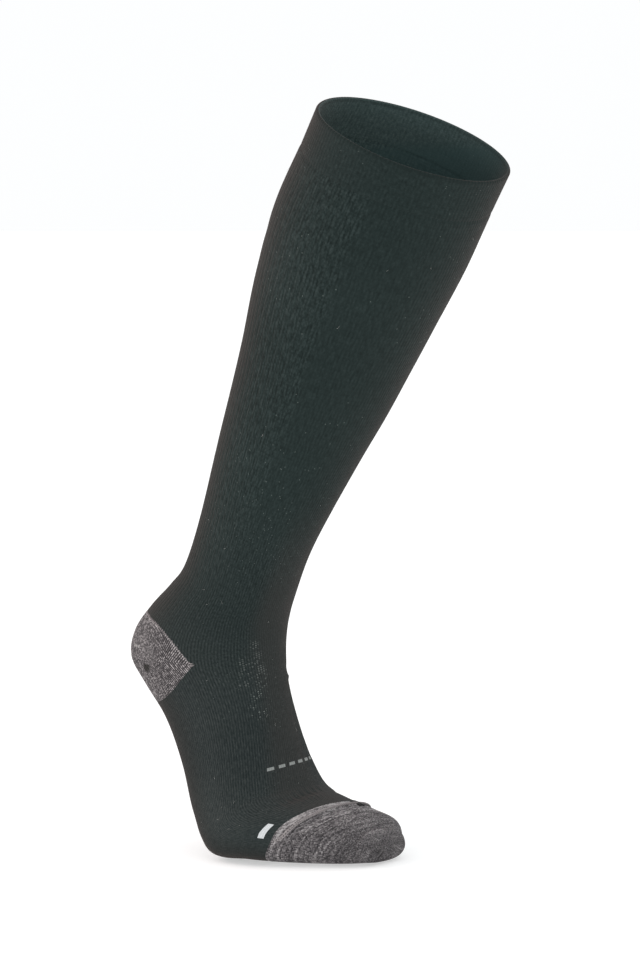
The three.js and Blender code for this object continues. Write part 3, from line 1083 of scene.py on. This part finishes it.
# %% [markdown]
# ## The grey melange
# Melange yarn is spun from pale and dark fibres, so one stitch is light and the next is dark. On
# the toes long runs of yarn share a tone, which shows as thin streaks side by side with the
# pocket's edge. On the heel the wales stand apart as fine bright lines, with painted shade in the
# grooves between them. Both pockets are painted lighter higher above the floor, as light that
# falls from above. The heel also has one dark fleck and a pale streak on the outer side, listed
# by station, angle, reach, share and colour.

# %% Mix the melange
join_top, join_low, join_side = skin(np.full(3, 18.5), np.array([180.0, 0.0, 90.0]))
streak_axis = np.cross(join_top - join_low, join_side - join_low)
STREAK_AXIS = tuple(streak_axis / np.linalg.norm(streak_axis))
STREAKS_PER_METRE = 0.75 / MM, 0.038 / MM
MELANGE = [
    (0.24, dye(40, 39, 41)),
    (0.44, dye(80, 77, 79)),
    (0.62, dye(124, 120, 121)),
    (0.84, dye(192, 188, 188)),
]


def melange(name, shade, speckle, streak, groove, edge, spots=()):
    """Grey yarn; edge is how many bright courses it starts with."""
    finish = Knit(name, 0.6)
    loop = finish.loop
    run = finish.noise(finish.drawn_out(STREAK_AXIS, *STREAKS_PER_METRE), 1.0, 3.0) - 0.5
    run = run * (finish.step(finish.courses, 60.0, 6.0) * 0.6 + 0.4)
    fibre = finish.noise(finish.place(), 1300.0, 2.0)
    patch = finish.noise(finish.place(), 60.0, 2.0)
    tone = finish.luck * speckle + run * streak + fibre * 0.4 + loop * 0.14 + patch * 0.25
    # painted shade in the grooves between wales; the wales' middles are lighter
    tone = tone + (1 - finish.aside) * groove
    tone = tone + finish.step(finish.courses, edge, edge * 0.6) * 0.13
    # painted light from above: the pockets are lighter the higher they stand above the floor
    tone = tone - shade + finish.step(finish.height_above_floor(), 0.0, 0.05) * 0.2
    colour = finish.ramp(tone, MELANGE)
    for *place, share, other in spots:
        colour = finish.mix(finish.near_skin(*place) * share, colour, other)
    height = loop * 0.6 + finish.luck * 0.25 + fibre * 0.3 - finish.aside * finish.aside * 0.4
    print(name, "nodes:", len(finish.tree.nodes))
    return finish.cloth(colour, height, 0.3 * MM, 0.9, (0.15, 0.5, dye(235, 232, 230)))


# %% The heel's dark fleck and pale streak, and both pockets' finishes
FLECK_DYE, STREAK_DYE = dye(30, 29, 27), dye(200, 198, 196)
HEEL_SPOTS = [
    (12.3, 60, 3.9, 1.0, dye(26, 26, 24)),
    (12.38, 58.5, 3.6, 0.9, FLECK_DYE),
    (12.28, 63, 3.0, 0.9, FLECK_DYE),
]
HEEL_SPOTS += [(11.5, angle, 1.7, 0.5, STREAK_DYE) for angle in (46, 50, 54)]
grey_heel = melange("melange_heel", 0.7, 0.4, 0.12, 0.6, 1.3, HEEL_SPOTS)
grey_toe = melange("melange_toe", 0.16, 0.3, 0.9, 0.12, 8.0)


# %% Plain yarn for the chain, the tail, the threads and the lint
def plain_yarn(name, colour):
    """One colour, mottled by its fibres."""
    finish = Finish(name)
    fibre = finish.noise(finish.place(), 1500.0, 2.0)
    shade = finish.mix(fibre, tuple(0.6 * part for part in colour[:3]) + (1.0,), colour)
    return finish.cloth(shade, fibre, 0.1 * MM, 0.85, (0.25, 0.5, dye(230, 228, 226)))


pale_yarn = plain_yarn("pale_yarn", dye(168, 162, 162))
dark_yarn = plain_yarn("dark_yarn", dye(58, 58, 58))
lint_fibre = plain_yarn("lint_fibre", dye(190, 192, 188))

# %% [markdown]
# ## Dress the frame
# Each piece gets its finish, rides on the one body that the stocking has, and takes the place of
# its solids. The size of each cloth piece is worked out as the tube cut open, all round by its
# length, with its area, and printed.

# %% Finishes and places
DRESSED = [
    (welt_piece, dark_leg, "dark_knit", ["welt"]),
    (leg_piece, dark_leg, "dark_knit", ["leg_upper", "leg_lower"]),
    (foot_piece, dark_foot, "dark_knit", ["foot"]),
    (heel_piece, grey_heel, "melange_knit", ["heel"]),
    (toe_piece, grey_toe, "melange_knit", ["toe"]),
    (chain_piece, pale_yarn, "melange_knit", []),
    (tail_piece, dark_yarn, "dark_knit", []),
    (threads_piece, pale_yarn, "melange_knit", []),
    (lint_piece, lint_fibre, "melange_knit", []),
]
for piece, material, slot, nodes in DRESSED:
    piece.data.materials.append(material)
    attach(piece, "root")
    if nodes:
        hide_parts(*nodes)


# %% The cut of each piece
def cut_open(start, end, angles):
    """Width, length and area in metres of the skin between two edges, laid flat."""
    share = np.linspace(0, 1, 61)
    points = skin(between(start, end, share), angles)
    across = np.linalg.norm(np.diff(points, axis=1), axis=-1)
    down = np.linalg.norm(np.diff(points, axis=0), axis=-1)
    width, length = across.sum(axis=1).max(), down.sum(axis=0).max()
    area = (across[:-1] * down[:, :-1]).sum()
    return round(width, 3), round(length, 3), round(area, 4)


around = np.linspace(0, 360, 181)
heel_around = np.linspace(-HEEL_CORNER, HEEL_CORNER, 91)
level = np.ones(len(around))
toe_tip = LAST + 0.99
heel_cut = cut_open(heel_upper(heel_around), heel_lower(heel_around), heel_around)
CUTS = [
    (welt_piece, cut_open(0 * level, level, around), []),
    (leg_piece, cut_open(level, heel_upper(around), around), [lint_piece]),
    (foot_piece, cut_open(heel_lower(around), toe_join(around), around), []),
    (heel_piece, heel_cut, [threads_piece]),
    (toe_piece, cut_open(toe_join(around), toe_tip * level, around), [chain_piece, tail_piece]),
]
for piece, (width, length, area), extras in CUTS:
    size = f"{width / MM:.0f} x {length / MM:.0f} mm"
    print(piece.name, "flat:", size, "area, cm2:", round(area * 1e4))

# %% [markdown]
# ## Studio
# The stocking stands before a plain pale floor that runs out to the horizon, under an even white
# sky, with one large soft lamp to the left.

# %% Floor and sky
FLOOR_RADIUS = 40.0
bpy.ops.object.select_all(action="DESELECT")
bpy.ops.mesh.primitive_circle_add(
    vertices=96, radius=FLOOR_RADIUS, fill_type="NGON", location=(0, 0, FLOOR_Z)
)
floor = bpy.context.active_object
floor.name = "studio_floor"
ground = Finish("studio_floor")
grain = ground.noise(ground.place(), 3.0, 2.0)
paper = ground.mix(grain, dye(203, 204, 204), dye(208, 209, 209))
values = {
    "Base Color": paper,
    "Roughness": 0.9,
    "Specular IOR Level": 0.1,
    "Emission Color": (1.0, 1.0, 1.0, 1.0),
    "Emission Strength": 0.5,
}
board = ground.node("ShaderNodeBsdfPrincipled", None, values)
ground.node("ShaderNodeOutputMaterial", None, {"Surface": board})
floor.data.materials.append(ground.material)

world = bpy.data.worlds.new("studio")
bpy.context.scene.world = world
world.use_nodes = True
sky = world.node_tree.nodes["Background"]
sky.inputs["Color"].default_value = (0.985, 0.995, 1.0, 1.0)
sky.inputs["Strength"].default_value = 1.0

# %% Lamp and camera
VIEW_AZIMUTH, VIEW_ELEVATION = math.radians(40.9), math.radians(4.83)
VIEW_DISTANCE = 2.0
target = Vector((-0.072, -0.0003, -0.2043))
back = Vector((
    math.sin(VIEW_AZIMUTH) * math.cos(VIEW_ELEVATION),
    -math.cos(VIEW_AZIMUTH) * math.cos(VIEW_ELEVATION),
    math.sin(VIEW_ELEVATION),
))
right = Vector((math.cos(VIEW_AZIMUTH), math.sin(VIEW_AZIMUTH), 0))


def stand(name, data, place, towards):
    """Adds a lamp or a camera at a place, looking the given way."""
    made = bpy.data.objects.new(name, data)
    bpy.context.collection.objects.link(made)
    made.location = place
    made.rotation_mode = "QUATERNION"
    made.rotation_quaternion = towards.to_track_quat("-Z", "Y")
    return made


light = bpy.data.lights.new("left_lamp", "AREA")
light.size = 1.2
light.energy = 16
light.color = (1.0, 0.79, 0.75)
place = target - right * 1.7 + Vector((0, 0, 0.9)) - back * 0.1
stand("left_lamp", light, place, target - place)

LONG_SIDE, FOCAL_PIXELS = 960, 3317
lens = bpy.data.cameras.new("camera")
lens.sensor_width = 36
lens.lens = FOCAL_PIXELS / LONG_SIDE * lens.sensor_width
lens.clip_start, lens.clip_end = 0.05, 200
bpy.context.scene.camera = stand("camera", lens, target + back * VIEW_DISTANCE, -back)
print("lens, mm:", round(lens.lens, 1))
